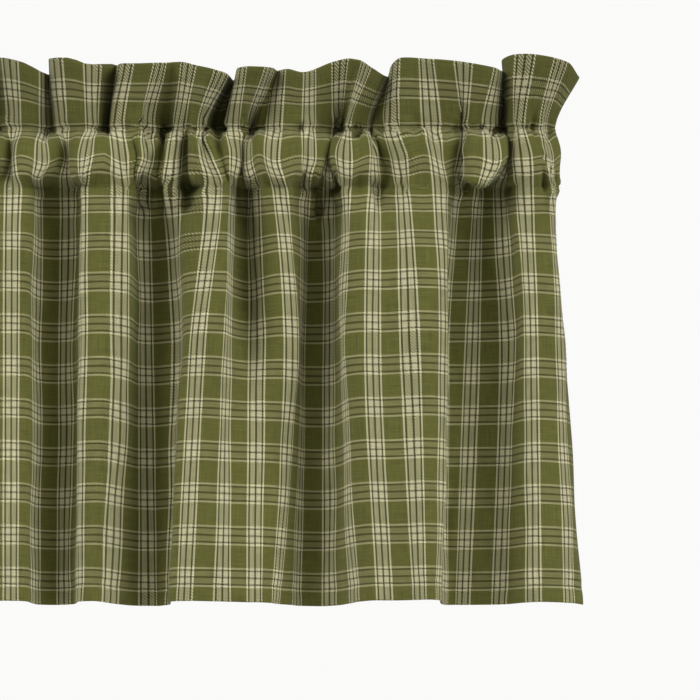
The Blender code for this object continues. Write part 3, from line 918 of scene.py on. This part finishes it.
def cottonPlaid():
    print("plaid cotton")
    material = bpy.data.materials.new("plaidCotton")
    material.use_nodes = True
    tree = material.node_tree
    nodes, links = tree.nodes, tree.links
    shader = nodes["Principled BSDF"]
    shader.inputs["Specular IOR Level"].default_value = cotton["specular"]
    shader.inputs["Sheen Weight"].default_value = cotton["sheen"]
    shader.inputs["Sheen Roughness"].default_value = cotton["sheenRoughness"]
    place = nodes.new("ShaderNodeUVMap")
    place.uv_map = "flatCloth"
    split = nodes.new("ShaderNodeSeparateXYZ")
    links.new(place.outputs[0], split.inputs[0])
    yarns, lights, darks = [], [], []
    for axis, name, first in ((0, "upright", plaid["firstBand"]), (1, "cross", plaid["firstCross"])):
        node = nodes.new("ShaderNodeGroup")
        node.node_tree = stripeGroup(name + "Yarns", plaid[name])
        node.inputs["First"].default_value = first * mm
        links.new(split.outputs[axis], node.inputs["Distance"])
        yarns.append(node.outputs["Colour"])
        lights.append(node.outputs["Light"])
        darks.append(node.outputs["Dark"])
    weave = nodes.new("ShaderNodeGroup")
    weave.node_tree = weaveGroup()
    links.new(split.outputs[0], weave.inputs["Flat"])
    links.new(split.outputs[1], weave.inputs["Drop"])
    weave.inputs["Pitch"].default_value = plaid["yarnPitch"] * mm
    weave.inputs["Upright Share"].default_value = plaid["uprightShare"]
    colour = shaderMix(tree, weave.outputs["Upright On Top"], yarns[1], yarns[0])
    crossing = shaderMath(tree, "MULTIPLY", shaderMath(tree, "MULTIPLY", *lights),
                          plaid["crossingLight"])
    colour = shaderMix(tree, crossing, colour, plaid["crossingColour"])
    shade = shaderMath(tree, "ADD", shaderMath(tree, "MULTIPLY", weave.outputs["Slub"],
                                               2 * cotton["slubShade"]), 1 - cotton["slubShade"])
    fade = nodes.new("ShaderNodeTexNoise")
    fade.inputs["Scale"].default_value = 1 / cotton["fadeSize"]
    fade.inputs["Detail"].default_value = 3.0
    links.new(place.outputs[0], fade.inputs["Vector"])
    faded = shaderMath(tree, "ADD", shaderMath(tree, "MULTIPLY", fade.outputs["Fac"],
                                               2 * cotton["fadeShade"]), 1 - cotton["fadeShade"])
    lined = shaderMath(tree, "SUBTRACT", 1.0, shaderMath(
        tree, "MULTIPLY", shaderMath(tree, "MAXIMUM", *darks), plaid["darkLine"]))
    # painted shade: the base colour is darker on the header above the upper row, in place of the light its
    # two layers keep from coming through
    drop = shaderMath(tree, "ABSOLUTE", split.outputs[1])
    depths = nodes.new("ShaderNodeMapRange")
    depths.interpolation_type = "SMOOTHSTEP"
    links.new(drop, depths.inputs["Value"])
    depths.inputs["From Min"].default_value = (cloth["headerDrop"] - plaid["paintedHeaderShadeEdge"]) * mm
    depths.inputs["From Max"].default_value = (cloth["headerDrop"] + plaid["paintedHeaderShadeEdge"]) * mm
    depths.inputs["To Min"].default_value = 1 - plaid["paintedHeaderShade"]
    depths.inputs["To Max"].default_value = 1.0
    grey = nodes.new("ShaderNodeCombineColor")
    tone = shaderMath(tree, "MULTIPLY", shaderMath(tree, "MULTIPLY", shade, faded),
                      shaderMath(tree, "MULTIPLY", lined, depths.outputs["Result"]))
    for channel in range(3):
        links.new(tone, grey.inputs[channel])
    colour = shaderMix(tree, 1.0, colour, grey.outputs[0], "MULTIPLY")
    links.new(colour, shader.inputs["Base Color"])
    spread = shaderMath(tree, "MULTIPLY", weave.outputs["Slub"], cotton["roughSpread"])
    rough = shaderMath(tree, "ADD", spread, cotton["roughness"] - cotton["roughSpread"] / 2)
    links.new(rough, shader.inputs["Roughness"])
    bump = nodes.new("ShaderNodeBump")
    bump.inputs["Strength"].default_value = cotton["weaveBump"]
    bump.inputs["Distance"].default_value = cotton["weaveHeight"] * mm
    links.new(weave.outputs["Height"], bump.inputs["Height"])
    links.new(bump.outputs[0], shader.inputs["Normal"])
    return material


def threadMaterial():
    material = bpy.data.materials.new("sewingThread")
    material.use_nodes = True
    tree = material.node_tree
    shader = tree.nodes["Principled BSDF"]
    shader.inputs["Sheen Weight"].default_value = thread["sheen"]
    place = tree.nodes.new("ShaderNodeTexCoord")
    noise = tree.nodes.new("ShaderNodeTexNoise")
    noise.inputs["Scale"].default_value = thread["spots"]
    tree.links.new(place.outputs["Object"], noise.inputs["Vector"])
    light = tuple(thread["lighter"] * channel for channel in thread["colour"])
    tree.links.new(shaderMix(tree, noise.outputs["Fac"], thread["colour"], light),
                   shader.inputs["Base Color"])
    spread = shaderMath(tree, "MULTIPLY", noise.outputs["Fac"], thread["roughSpread"])
    rough = shaderMath(tree, "ADD", spread, thread["roughness"])
    tree.links.new(rough, shader.inputs["Roughness"])
    return material


# the photograph's frame, in its pixels and in mm
view = {
    "frame": 700,
    "mmPerPixel": 0.6423,
    "pocketRightEnd": 557,
    "rodLine": 159,
    "lens": 135.0,
    "sensor": 36.0,
}


def photoCamera():
    width = view["frame"] * view["mmPerPixel"] * mm
    distance = width * view["lens"] / view["sensor"]
    middle = view["frame"] / 2
    x = (cloth["hungWidth"] / 2 - (view["pocketRightEnd"] - middle) * view["mmPerPixel"]) * mm
    z = (view["rodLine"] - middle) * view["mmPerPixel"] * mm
    data = bpy.data.cameras.new("photoCamera")
    data.lens, data.sensor_width = view["lens"], view["sensor"]
    camera = bpy.data.objects.new("photoCamera", data)
    camera.location = (x, -distance, z)
    camera.rotation_euler = (math.radians(90), 0, 0)
    bpy.context.collection.objects.link(camera)
    bpy.context.scene.camera = camera


# soft light from both sides of the front
studio = {
    "suns": (
        ("leftLight", (-0.76, -0.50, 0.40), 1.75, 36.0),     # from, strength, width in degrees
        ("rightLight", (0.74, -0.52, 0.42), 2.05, 36.0),
    ),
    "world": 0.30,
    "worldColour": (1.0, 0.98, 0.95, 1.0),
    "backdrop": (0.96, 0.96, 0.95, 1.0),
    "floorDrop": 0.75,       # in metres, as floorHalf is
    "floorHalf": 1.6,
    "floorColour": (0.82, 0.82, 0.80, 1.0),
    "floorRoughness": 0.7,
}


def studioLight():
    for name, came, strength, width in studio["suns"]:
        sun = bpy.data.lights.new(name, "SUN")
        sun.energy, sun.angle = strength, math.radians(width)
        lamp = bpy.data.objects.new(name, sun)
        lamp.rotation_euler = Vector(came).to_track_quat("Z", "Y").to_euler()
        bpy.context.collection.objects.link(lamp)
    world = bpy.data.worlds.new("studio")
    world.use_nodes = True
    bpy.context.scene.world = world
    nodes, links = world.node_tree.nodes, world.node_tree.links
    soft = nodes["Background"]
    soft.inputs["Color"].default_value = studio["worldColour"]
    soft.inputs["Strength"].default_value = studio["world"]
    backdrop = nodes.new("ShaderNodeBackground")
    backdrop.inputs["Color"].default_value = studio["backdrop"]
    path = nodes.new("ShaderNodeLightPath")
    mix = nodes.new("ShaderNodeMixShader")
    links.new(path.outputs["Is Camera Ray"], mix.inputs[0])
    links.new(soft.outputs[0], mix.inputs[1])
    links.new(backdrop.outputs[0], mix.inputs[2])
    links.new(mix.outputs[0], nodes["World Output"].inputs["Surface"])
    bpy.context.scene.view_settings.view_transform = "Standard"


def paleFloor():
    bm = bmesh.new()
    bmesh.ops.create_grid(bm, x_segments=1, y_segments=1, size=studio["floorHalf"])
    bmesh.ops.translate(bm, verts=bm.verts, vec=(0, 0, -studio["floorDrop"]))
    mesh = bpy.data.meshes.new("floor")
    bm.to_mesh(mesh)
    bm.free()
    floor = bpy.data.objects.new("floor", mesh)
    bpy.context.collection.objects.link(floor)
    material = bpy.data.materials.new("paleFloor")
    material.use_nodes = True
    shader = material.node_tree.nodes["Principled BSDF"]
    shader.inputs["Base Color"].default_value = studio["floorColour"]
    shader.inputs["Roughness"].default_value = studio["floorRoughness"]
    mesh.materials.append(material)


photoCamera()
studioLight()
paleFloor()
valance = cottonCloth()
valance.data.materials.append(cottonPlaid())
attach(valance, "root")
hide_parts("cloth")
stitches = sewingThread()
stitches.data.materials.append(threadMaterial())
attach(stitches, "root")
